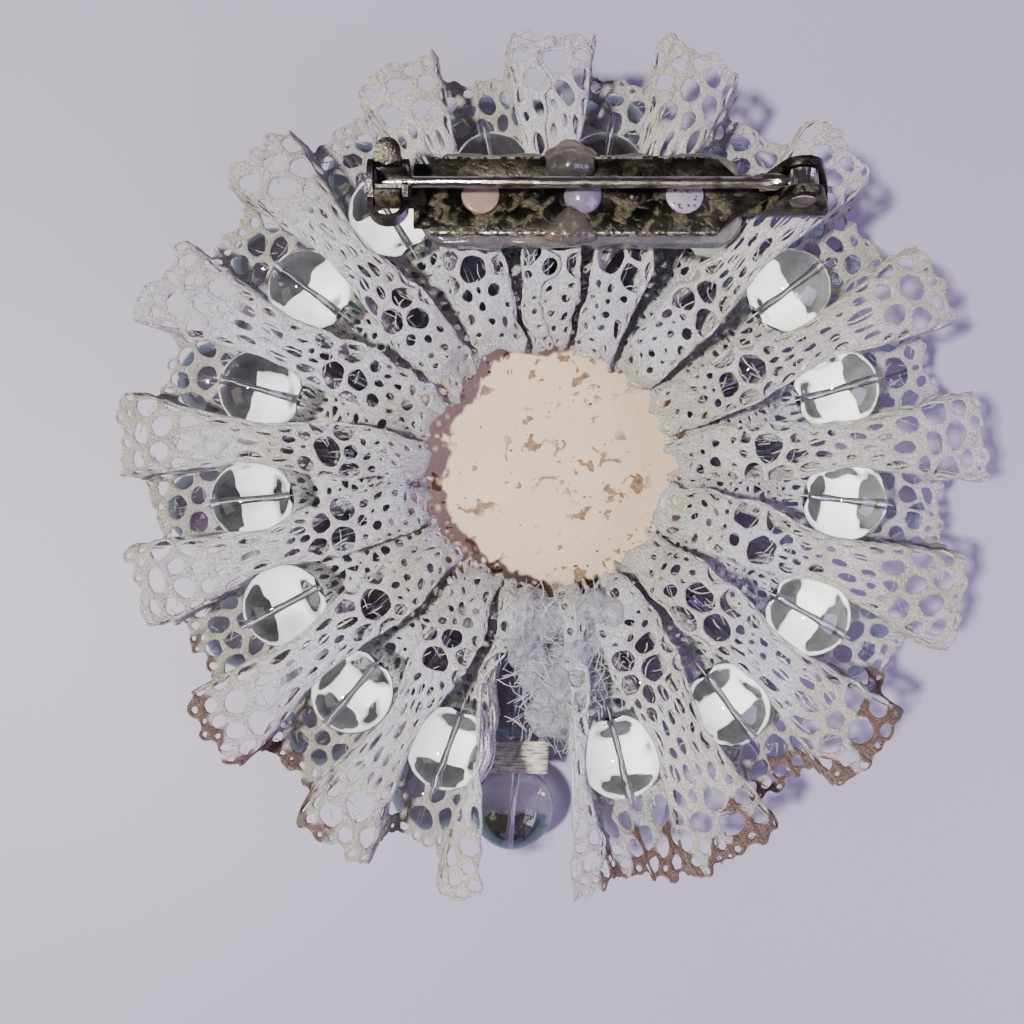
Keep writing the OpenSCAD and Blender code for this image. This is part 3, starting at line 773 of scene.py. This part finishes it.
def joined_patches(name, shapes, look):
    """One piece from several shapes, each given as points and faces."""
    points, faces = [], []
    for shape_points, shape_faces in shapes:
        start = len(points)
        points += shape_points
        faces += [tuple(c + start for c in face) for face in shape_faces]
    piece = new_piece(name, points, faces)
    piece.data.materials.append(look)
    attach(piece, "brooch")
    return piece


glow_rng = np.random.default_rng(11)
glow_patches, shades = [], []
for name in bead_names:
    at = middle(name)
    angle = math.atan2(at[1], at[0])
    mid = 0.2 + 0.04 * math.cos(angle) + glow_rng.normal(0, 0.02)
    half = 0.135 + glow_rng.normal(0, 0.012)
    side = 0.23 + glow_rng.normal(0, 0.03)
    turn = angle + glow_rng.normal(0, 0.08)
    # Painted light: a glowing pad under each bead. Painted shade: a dark sheet round it.
    glow_patches.append(bowl_patch(at, turn, (mid - half, mid + half), (-side, side), 0.03, 0.05))
    shades.append(bowl_patch(at, angle, (-0.5, 0.85), (-0.7, 0.7), 0.1, 0.05))
seam_at = middle(front_names[-1])
seam_turn = math.atan2(seam_at[1], seam_at[0])
# Painted shade: a small dark sheet under the seam's front bead, seen through it as a dark oval.
shades.append(bowl_patch(seam_at, seam_turn, (0.3, 0.45), (-0.17, 0.17), front_r - bead_r + 0.03, 0.04))
glow_piece = joined_patches("bead_painted_glow", glow_patches, painted_glow_look())
shade_piece = joined_patches("bead_painted_shade", shades, dark_look())


# ------------------------------------------------------------------- base plate
# A round beige backing plate behind the lace's gathered edge, speckled with brown and gold flakes.
# It carries the large stone on the front, and shows inside the ruffle on the back.
def backing_look():
    look, shader, place = new_look("speckled_backing", Coat_Weight=0.15, Coat_Roughness=0.4)
    cloud = patches(place, 5, 0.5, 0.2, 5)
    grit = patches(place, 0.35, 0.5, 0.2, 6)
    flakes = patches(place, 1.3, 0.4, 0.01, 3, 0.9)
    region = patches(place, 6.5, 0.55, 0.06, 2)
    dots = patches(place, 0.6, 0.255, 0.01, 1)
    flaked = maths("MULTIPLY", flakes.outputs["Mask"], region.outputs["Mask"])
    colour = tint(cloud.outputs["Mask"], (0.54, 0.37, 0.235), (0.62, 0.44, 0.29))
    colour = tint(grit.outputs["Mask"], colour, (0.55, 0.4, 0.275))
    gold = tint(grit.outputs["Mask"], (0.09, 0.045, 0.02), (0.26, 0.14, 0.05))
    colour = tint(flaked, colour, gold)
    put(tint(dots.outputs["Mask"], colour, (0.05, 0.04, 0.03)), shader.inputs["Base Color"])
    put(ranged(cloud.outputs["Height"], 0.4, 0.65), shader.inputs["Roughness"])
    raised(shader, grit.outputs["Height"], 0.05)
    return look


backing = backing_look()
for slot in bpy.data.objects["base_disc"].material_slots:
    slot.material = backing


# ------------------------------------------------------------------------- stone
# The large faceted stone on the front is clear acrylic with a flat back, glued to the base plate.
def stone_look():
    look, shader, place = new_look("stone_acrylic", Base_Color=(0.93, 0.95, 0.98), Transmission_Weight=1.0,
                                   IOR=1.52, Thin_Film_Thickness=380.0, Thin_Film_IOR=1.6)
    wear_and_glow_mottle = patches(place, 0.8, 0.4, 0.05, 6, 2)
    put(ranged(wear_and_glow_mottle.outputs["Mask"], 0.01, 0.08), shader.inputs["Roughness"])
    return look


stone_low, stone_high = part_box("centre_stone")
stone_r = stone_high[0] / MM
stone_top, stone_bottom = stone_high[2] / MM, stone_low[2] / MM
facets = 16
girdle_z = stone_top - 0.9
girdle_up = girdle_z - stone_bottom
tiers = [(stone_r, stone_top, 0.5), (stone_r, girdle_z, 0.5),
         (stone_r * 0.86, girdle_z - 0.3 * girdle_up, 0),
         (stone_r * 0.66, girdle_z - 0.72 * girdle_up, 0.5), (stone_r * 0.42, stone_bottom, 0)]
points, faces = [], []
for radius, z, turn in tiers:
    for i in range(facets):
        a = 2 * math.pi * (i + turn) / facets
        points.append((radius * math.cos(a) * MM, radius * math.sin(a) * MM, z * MM))
for t in range(len(tiers) - 1):
    even = tiers[t][2] == tiers[t + 1][2]
    shift = 0 if tiers[t][2] > tiers[t + 1][2] else 1
    for i in range(facets):
        a, b = t * facets + i, t * facets + (i + 1) % facets
        if even:
            faces.append((a, a + facets, b + facets, b))
            continue
        c, d = (t + 1) * facets + i, (t + 1) * facets + (i + 1) % facets
        if shift:
            faces.append((a, c, b))
            faces.append((b, c, d))
        else:
            faces.append((a, d, b))
            faces.append((a, c, d))
faces.append(tuple(range(facets)))
faces.append(tuple(reversed(range((len(tiers) - 1) * facets, len(tiers) * facets))))
stone = new_piece("stone_facets", points, faces, smooth=False)
only(stone)
bpy.ops.object.mode_set(mode="EDIT")
bpy.ops.mesh.select_all(action="SELECT")
bpy.ops.mesh.normals_make_consistent(inside=False)
bpy.ops.object.mode_set(mode="OBJECT")
edge = stone.modifiers.new("edge", "BEVEL")
edge.width, edge.segments = 0.06 * MM, 2
bpy.ops.object.modifier_apply(modifier="edge")
stone.data.materials.append(stone_look())
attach(stone, "brooch")
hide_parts("centre_stone")


# ------------------------------------------------------------------ nylon thread
# Clear nylon monofilament runs through each bead and dips into the lace at both ends.
def nylon_look():
    look, shader, place = new_look(
        "clear_nylon", Roughness=0.12, Transmission_Weight=0.5, IOR=1.53)
    haze = patches(place, 0.6, 0.5, 0.2, 3)
    put(tint(haze.outputs["Mask"], (0.72, 0.72, 0.74), (0.88, 0.88, 0.9)),
              shader.inputs["Base Color"])
    return look


def thread_line(spots, radius):
    """A fine tube through places in millimetres, as points and faces."""
    sides, points, faces = 8, [], []
    spots = [Vector(spot) for spot in spots]
    for i, spot in enumerate(spots):
        run = (spots[min(i + 1, len(spots) - 1)] - spots[max(i - 1, 0)]).normalized()
        side = run.cross(Vector((0, 0, 1))).normalized()
        top = side.cross(run)
        for j in range(sides):
            turn = 2 * math.pi * j / sides
            points.append((spot + (side * math.cos(turn) + top * math.sin(turn)) * radius) * MM)
    for i in range(len(spots) - 1):
        for j in range(sides):
            a, b = i * sides + j, i * sides + (j + 1) % sides
            faces.append((a, b, b + sides, a + sides))
    faces.append(tuple(reversed(range(sides))))
    faces.append(tuple(range((len(spots) - 1) * sides, len(spots) * sides)))
    return points, faces


def sewn_line(at, radius):
    """The thread through one bead, with both ends bent down into the lace or the next bead."""
    angle = math.atan2(at[1], at[0])
    out = Vector((math.cos(angle), math.sin(angle), 0))
    offsets = [(-radius - 0.75, -0.7), (-radius - 0.45, -0.35), (-radius - 0.1, -0.04), (0, 0.02),
               (radius + 0.1, -0.04), (radius + 0.45, -0.35), (radius + 0.75, -0.7)]
    return thread_line([Vector(at) + out * along + Vector((0, 0, down)) for along, down in offsets], 0.045)


sewn = [sewn_line(middle(name), bead_r) for name in bead_names]
sewn += [sewn_line(at, front_r) for at in [*map(middle, front_names), *inner_middles]]
sewing = joined_patches("sewing_threads", sewn, nylon_look())
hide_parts("bead_threads")


# ---------------------------------------------------------------------- bar pin
# A stock bar pin stamped from nickel-plated steel: plate, hinge ears and rolled catch in one.
# The plating has tarnished nearly black, with greenish-brown corrosion over parts of the plate.
bar_lean = math.radians(8)
plug_low, plug_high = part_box("glue_plug_middle")
bar_line = middle("glue_plug_left")[1] * MM


def merged_copy(node, name):
    """A selected copy of a CAD node, with doubled corners merged and no finish."""
    piece = bpy.data.objects.new(name, bpy.data.objects[node].data.copy())
    piece.data.name = name
    piece.data.materials.clear()
    bpy.context.collection.objects.link(piece)
    only(piece)
    bpy.ops.object.mode_set(mode="EDIT")
    bpy.ops.mesh.select_all(action="SELECT")
    bpy.ops.mesh.remove_doubles(threshold=0.002 * MM)
    bpy.ops.object.mode_set(mode="OBJECT")
    return piece


def smooth_copy(node, name, bevel, angle, body):
    """A merged copy of a CAD node with softened edges, which stands for it."""
    piece = merged_copy(node, name)
    if bevel:
        soft = piece.modifiers.new("soft", "BEVEL")
        soft.width, soft.segments, soft.limit_method = bevel * MM, 2, "ANGLE"
        soft.angle_limit = math.radians(35)
        bpy.ops.object.modifier_apply(modifier="soft")
    bpy.ops.object.shade_smooth_by_angle(angle=math.radians(angle))
    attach(piece, body)
    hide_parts(node)
    return piece


def nickel_look(name, tone, patina_cover, rough, worn_edges=0.0):
    """Tarnished nickel plate with lumpy corrosion patches, fine pits and specks of bare edge."""
    look, shader, place = new_look(name)
    crust = patches(place, 1.1, patina_cover, 0.08, 7, 0.6)
    crusted = crust.outputs["Mask"]
    grain = patches(place, 0.22, 0.5, 0.18, 5)
    haze = patches(place, 2.6, 0.5, 0.2, 4)
    specks = patches(place, 0.16, 0.25, 0.02, 2)
    metal = tint(haze.outputs["Mask"], tone, tuple(c * 2.6 for c in tone))
    metal = tint(specks.outputs["Mask"], metal, (0.62, 0.58, 0.5))
    if worn_edges:
        off = maths("SUBTRACT", axis(place, "Y"), bar_line)
        band = ranged(maths("ABSOLUTE", off), 0, 1, worn_edges * MM, (worn_edges + 0.12) * MM)
        rubbed = patches(place, 0.3, 0.5, 0.06, 4)
        on_plate = maths("GREATER_THAN", axis(place, "X"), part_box("glue_pad")[0][0] + 0.8 * MM)
        wear_and_glow_mottle = maths("MULTIPLY", maths("MULTIPLY", band, on_plate), rubbed.outputs["Mask"])
        metal = tint(wear_and_glow_mottle, metal, (0.75, 0.7, 0.6))
        crusted = maths("MULTIPLY", crusted, ranged(off, 0.3, 1, 1.6 * MM, -0.8 * MM))
    green = tint(grain.outputs["Mask"], (0.02, 0.018, 0.008), (0.1, 0.083, 0.038))
    put(tint(crusted, metal, green), shader.inputs["Base Color"])
    put(ranged(crusted, 1.0, 0.25), shader.inputs["Metallic"])
    coarse = maths("MAXIMUM", ranged(crusted, rough, 0.75),
                   ranged(haze.outputs["Mask"], rough, rough + 0.15))
    put(coarse, shader.inputs["Roughness"])
    lumps = raised(shader, crusted, 0.05)
    raised(shader, grain.outputs["Height"], 0.04, lumps)
    return look


plate = smooth_copy("pin_bar", "bar_plate", 0.07, 40, "brooch")
plate.data.materials.append(nickel_look("tarnished_nickel", (0.02, 0.018, 0.015), 0.46, 0.28, 2.66))

rivet = smooth_copy("hinge_rivet", "rivet_pin", 0.05, 40, "brooch")
rivet.data.materials.append(nickel_look("rivet_nickel", (0.12, 0.1, 0.1), 0.25, 0.28))


# --------------------------------------------------------------------- pin stem
# The stem is polished nickel-plated wire with a drawn point and a rolled eye that turns on the rivet.
def wire_look():
    look, shader, place = new_look("stem_wire", Metallic=1.0)
    streaks = patches(stretched(place, (0.12, 1, 1)), 0.12, 0.5, 0.2, 4)
    dull = patches(place, 1.8, 0.42, 0.1, 5)
    metal = tint(dull.outputs["Mask"], (0.42, 0.39, 0.36), (0.09, 0.075, 0.055))
    put(metal, shader.inputs["Base Color"])
    put(ranged(dull.outputs["Mask"], 0.12, 0.36), shader.inputs["Roughness"])
    raised(shader, streaks.outputs["Height"], 0.03)
    return look


stem = smooth_copy("pin_stem", "stem_wire", 0, 35, "stem")
stem.data.materials.append(wire_look())


# ------------------------------------------------------------------------- lock
# The turning lock is a slotted barrel with two cheeks and a thumb loop, polished and nearly black.
lock = smooth_copy("catch_rotor", "lock_barrel", 0.06, 40, "lock")
lock.data.materials.append(nickel_look("dark_nickel", (0.035, 0.03, 0.03), 0.25, 0.2))


# --------------------------------------------------------------------- hot glue
# Milky hot-melt glue holds the bar: a pad squeezed out under the plate and plugs in its three holes.
# The middle plug stands highest, and a thin skin of glue runs from it down over the plate's edge.
def glue_look(name, tone, clear, specks, milk=0.25):
    look, shader, place = new_look(
        name, IOR=1.48, Subsurface_Weight=milk, Subsurface_Scale=0.6 * MM, Transmission_Weight=clear)
    cloud = patches(place, 1.6, 0.5, 0.2, 4)
    warm = patches(place, 3.5, 0.42, 0.12, 2)
    grit = patches(place, 0.34, specks, 0.015, 2)
    colour = tint(cloud.outputs["Mask"], tone, tuple(min(1, c * 1.18) for c in tone))
    colour = tint(warm.outputs["Mask"], colour, (tone[0] * 1.5, tone[1] * 1.35, tone[2] * 1.1))
    put(tint(grit.outputs["Mask"], colour, (0.08, 0.05, 0.05)), shader.inputs["Base Color"])
    put(ranged(cloud.outputs["Mask"], 0.12, 0.3), shader.inputs["Roughness"])
    raised(shader, cloud.outputs["Height"], 0.12)
    return look


def glue_blob(name, node, voxel, swell, look):
    """A soft lump made from a glue node, remeshed, smoothed and made uneven."""
    blob = merged_copy(node, name)
    soften_lump(blob, name, voxel, swell, look)
    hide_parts(node)


def soften_lump(blob, name, voxel, swell, look):
    """Remeshes a lump, smooths it, makes it uneven and gives it its finish."""
    blob.name = blob.data.name = name
    blob.data.materials.clear()
    grow = blob.modifiers.new("grow", "REMESH")
    grow.mode, grow.voxel_size = "VOXEL", voxel * MM
    bpy.ops.object.modifier_apply(modifier="grow")
    even = blob.modifiers.new("even", "SMOOTH")
    even.iterations, even.factor = 12, 0.6
    bpy.ops.object.modifier_apply(modifier="even")
    count = len(blob.data.vertices)
    spots, normals = np.empty(count * 3), np.empty(count * 3)
    blob.data.vertices.foreach_get("co", spots)
    blob.data.vertices.foreach_get("normal", normals)
    spots, normals = spots.reshape(-1, 3) / MM, normals.reshape(-1, 3)
    spots += normals * (ripple(spots, 1.5) * swell + ripple(spots + 9, 0.7) * swell * 0.4)[:, None]
    blob.data.vertices.foreach_set("co", (spots * MM).ravel())
    blob.data.update()
    bpy.ops.object.shade_smooth()
    blob.data.materials.append(look)
    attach(blob, "brooch")


glue = glue_look("hot_glue", (0.3, 0.285, 0.31), 0.8, 0.2)
plug_glue = glue_look("plug_glue", (0.2, 0.17, 0.23), 0.35, 0.2)
warm_glue = glue_look("warm_plug_glue", (0.3, 0.2, 0.165), 0.3, 0.22)
specked_glue = glue_look("specked_plug_glue", (0.32, 0.28, 0.34), 0.3, 0.4)
glue_blob("bar_glue_pad", "glue_pad", 0.25, 0.12, glue)
glue_blob("glue_plug_blob_left", "glue_plug_left", 0.1, 0.02, warm_glue)
glue_blob("glue_plug_blob_middle", "glue_plug_middle", 0.1, 0.03, plug_glue)
glue_blob("glue_plug_blob_right", "glue_plug_right", 0.1, 0.02, specked_glue)


# -------------------------------------------------------------------- seam glue
# Stringy, hazy glue fills the seam between the strip's ends and spreads over the nearest pleat.
# It is full of grey lint and cotton fibres.
def haze_look():
    look, shader, place = new_look("lint_in_glue", IOR=1.4, Subsurface_Weight=0.2,
                                          Subsurface_Scale=0.8 * MM)
    wisps = patches(place, 1.1, 0.5, 0.22, 6, 1.5)
    lint = patches(place, 0.22, 0.5, 0.15, 6, 2.5)
    grit = patches(place, 0.5, 0.26, 0.015, 2)
    colour = tint(lint.outputs["Mask"], (0.33, 0.325, 0.36), (0.66, 0.655, 0.7))
    put(tint(grit.outputs["Mask"], colour, (0.05, 0.045, 0.05)), shader.inputs["Base Color"])
    put(ranged(wisps.outputs["Mask"], 0.25, 0.72), shader.inputs["Alpha"])
    put(ranged(lint.outputs["Mask"], 0.25, 0.7), shader.inputs["Roughness"])
    bump = raised(shader, wisps.outputs["Height"], 0.5)
    raised(shader, lint.outputs["Height"], 0.2, bump)
    return look


haze_rng = np.random.default_rng(31)
seam_mid = valley_angles[0] - seam_angle / 2
seam_line = Vector((math.cos(seam_mid), math.sin(seam_mid), 0))
seam_side = Vector((-seam_line.y, seam_line.x, 0))
lumps = []
for i in range(46):
    out = haze_rng.uniform(9.8, 19.5)
    spread_out = 3.6 - 0.16 * (out - 9.8)
    across = 1.6 + haze_rng.uniform(-spread_out, spread_out)
    if out > 17 and across < 0:
        continue
    size = haze_rng.uniform(0.75, 1.35)
    high = floor_z + pleat_h - 1.6 - 0.12 * (out - 9.8) + haze_rng.uniform(-0.8, 0.6)
    at = seam_line * out + seam_side * across + Vector((0, 0, high))
    near = [Vector(m) for m in bead_middles if (Vector(m) - at).length < bead_r + size + 0.3]
    if near:
        continue
    bpy.ops.mesh.primitive_ico_sphere_add(subdivisions=3, radius=size * MM, location=at * MM)
    lumps.append(bpy.context.object)
only(*lumps)
bpy.ops.object.join()
haze = bpy.context.object
bpy.ops.object.transform_apply(location=True, rotation=True, scale=True)
soften_lump(haze, "seam_haze", 0.22, 0.35, haze_look())
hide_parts("seam_glue")


def lint_look():
    look, shader, place = new_look("grey_lint", Roughness=0.6, Sheen_Weight=0.4)
    shade = patches(place, 1.5, 0.5, 0.25, 4)
    put(tint(shade.outputs["Mask"], (0.27, 0.27, 0.31), (0.6, 0.6, 0.64)),
              shader.inputs["Base Color"])
    return look


lint = []
for i in range(520):
    out = haze_rng.uniform(9.6, 20)
    spread_out = 4.0 - 0.16 * (out - 9.6)
    spot = seam_line * out + seam_side * (1.6 + haze_rng.uniform(-spread_out, spread_out))
    spot.z = floor_z + pleat_h - 1.5 - 0.1 * (out - 9.6) + haze_rng.uniform(-1.2, 0.9)
    heading, rise, spots = haze_rng.uniform(0, 2 * math.pi), haze_rng.normal(0, 0.25), []
    for step in range(7):
        spots.append(spot.copy())
        heading += haze_rng.normal(0, 0.2)
        spot += Vector((math.cos(heading), math.sin(heading), rise)) * 0.32
        rise += haze_rng.normal(0, 0.1)
    if all((Vector(m) - point).length > bead_r + 0.1 for m in bead_middles for point in spots):
        lint.append(thread_line(spots, haze_rng.uniform(0.012, 0.026)))
lint_piece = joined_patches("seam_lint", lint, lint_look())


# ------------------------------------------------------------------ seam cords
# In the seam the front's sewing thread is wound in a ribbed cream band between the two rings.
def cord_look():
    look, shader, place = new_look("cream_thread", Roughness=0.45, Sheen_Weight=0.3)
    shade = patches(place, 0.5, 0.5, 0.2, 4)
    put(tint(shade.outputs["Mask"], (0.4, 0.37, 0.31), (0.8, 0.77, 0.66)),
              shader.inputs["Base Color"])
    raised(shader, shade.outputs["Height"], 0.1)
    return look


seam_bead = Vector(middle(front_names[-1]))
seam_bead.z = 0
inner_bead = Vector((math.cos(inner_seam), math.sin(inner_seam), 0)) * inner_ring_r
between = (seam_bead + inner_bead) / 2
line = (seam_bead - inner_bead).normalized()
side = Vector((-line.y, line.x, 0))
cords = []
for i in range(11):
    along = (i - 5) * 0.25
    cords.append(thread_line(
        [between + line * (along + haze_rng.normal(0, 0.03)) + side * across
         + Vector((0, 0, front_r + 1.9 - 0.06 * across ** 2 - 0.08 * i + 0.05 * math.sin(2 * across + i)))
         for across in np.linspace(-2.7, 2.7, 12)], 0.13))
cord_piece = joined_patches("seam_cords", cords, cord_look())


# ---------------------------------------------------------- glue over the plate
# Glue has run over the plate's upper edge beside the stem, and down in a thin skin below it.
def on_bar(x, y, z):
    """A place in the bar's own frame, in millimetres."""
    mid_x = (plug_low[0] + plug_high[0]) / 2 / MM
    foot_z = plug_low[2] / MM + 1.38 * math.sin(bar_lean)
    return Vector((mid_x + x, bar_line / MM + y * math.cos(bar_lean) + z * math.sin(bar_lean),
                   foot_z - y * math.sin(bar_lean) + z * math.cos(bar_lean)))


def glue_run(name, drops, look):
    """Overlapping flattened drops of glue, given as bar places and radii, made one lump."""
    made = []
    for x, y, z, size, flat in drops:
        bpy.ops.mesh.primitive_ico_sphere_add(subdivisions=3, radius=size * MM,
                                              location=on_bar(x, y, z) * MM)
        drop = bpy.context.object
        drop.scale.z = flat
        made.append(drop)
    only(*made)
    bpy.ops.object.transform_apply(location=True, rotation=True, scale=True)
    bpy.ops.object.join()
    soften_lump(bpy.context.object, name, 0.14, 0.02, look)


clear_glue = glue_look("clear_glue", (0.58, 0.53, 0.52), 0.95, 0.2, 0.04)
glue_run("glue_mound", [(-1.7, 1.9, 0.9, 1.0, 1), (-0.9, 1.9, 1.1, 1.15, 1), (-0.1, 1.9, 1.0, 1.0, 1),
                        (-0.9, 2.9, 0.3, 1.3, 0.9), (-2.0, 2.8, 0.2, 0.9, 0.8), (0.3, 2.8, 0.2, 0.9, 0.8)],
         clear_glue)
glue_run("glue_skin", [(-0.9, -1.5, 0.75, 0.6, 0.7), (-1.3, -2.1, 0.6, 0.8, 0.55),
                       (-0.4, -2.1, 0.6, 0.8, 0.55), (-1.9, -2.7, 0.35, 0.8, 0.6),
                       (-0.9, -2.8, 0.35, 0.9, 0.6), (0.1, -2.7, 0.35, 0.8, 0.6),
                       (0.6, -2.9, 0.2, 0.5, 0.6), (-2.4, -2.9, 0.2, 0.5, 0.6)], clear_glue)


# ------------------------------------------------------------------------ stage
bpy.ops.object.camera_add(location=(-0.00272, -0.00331, 0.0965))
camera = bpy.context.object
camera.data.lens = 40.6
camera.data.sensor_width = 36
camera.data.clip_start = 0.001
bpy.context.scene.camera = camera
bpy.ops.mesh.primitive_plane_add(size=0.6)
floor = bpy.context.object
floor.name = "floor"
floor_look = bpy.data.materials.new("floor")
floor_look.use_nodes = True
floor_look.node_tree.nodes["Principled BSDF"].inputs["Base Color"].default_value = (0.31, 0.28, 0.37, 1)
floor.data.materials.append(floor_look)


def area_light(name, at, aim, size, power, tone):
    """A soft light at a place, turned to another."""
    bpy.ops.object.light_add(type="AREA", location=at)
    light = bpy.context.object
    light.name = name
    light.rotation_euler = (Vector(aim) - Vector(at)).to_track_quat("-Z", "Y").to_euler()
    light.data.shape, light.data.size, light.data.energy, light.data.color = "SQUARE", size, power, tone


area_light("key", (-0.19, -0.03, 0.45), (0, 0, 0.01), 0.035, 4.9, (1.0, 0.985, 0.93))
area_light("cool_side", (0.24, -0.1, 0.2), (0.03, -0.02, 0), 0.22, 1.15, (0.7, 0.56, 1.0))
area_light("warm_side", (-0.24, -0.08, 0.14), (0, 0, 0), 0.15, 0.16, (1.0, 0.93, 0.78))
world = bpy.data.worlds.new("studio")
bpy.context.scene.world = world
world.use_nodes = True
world.node_tree.nodes["Background"].inputs["Color"].default_value = (0.8, 0.78, 0.92, 1)
world.node_tree.nodes["Background"].inputs["Strength"].default_value = 0.12
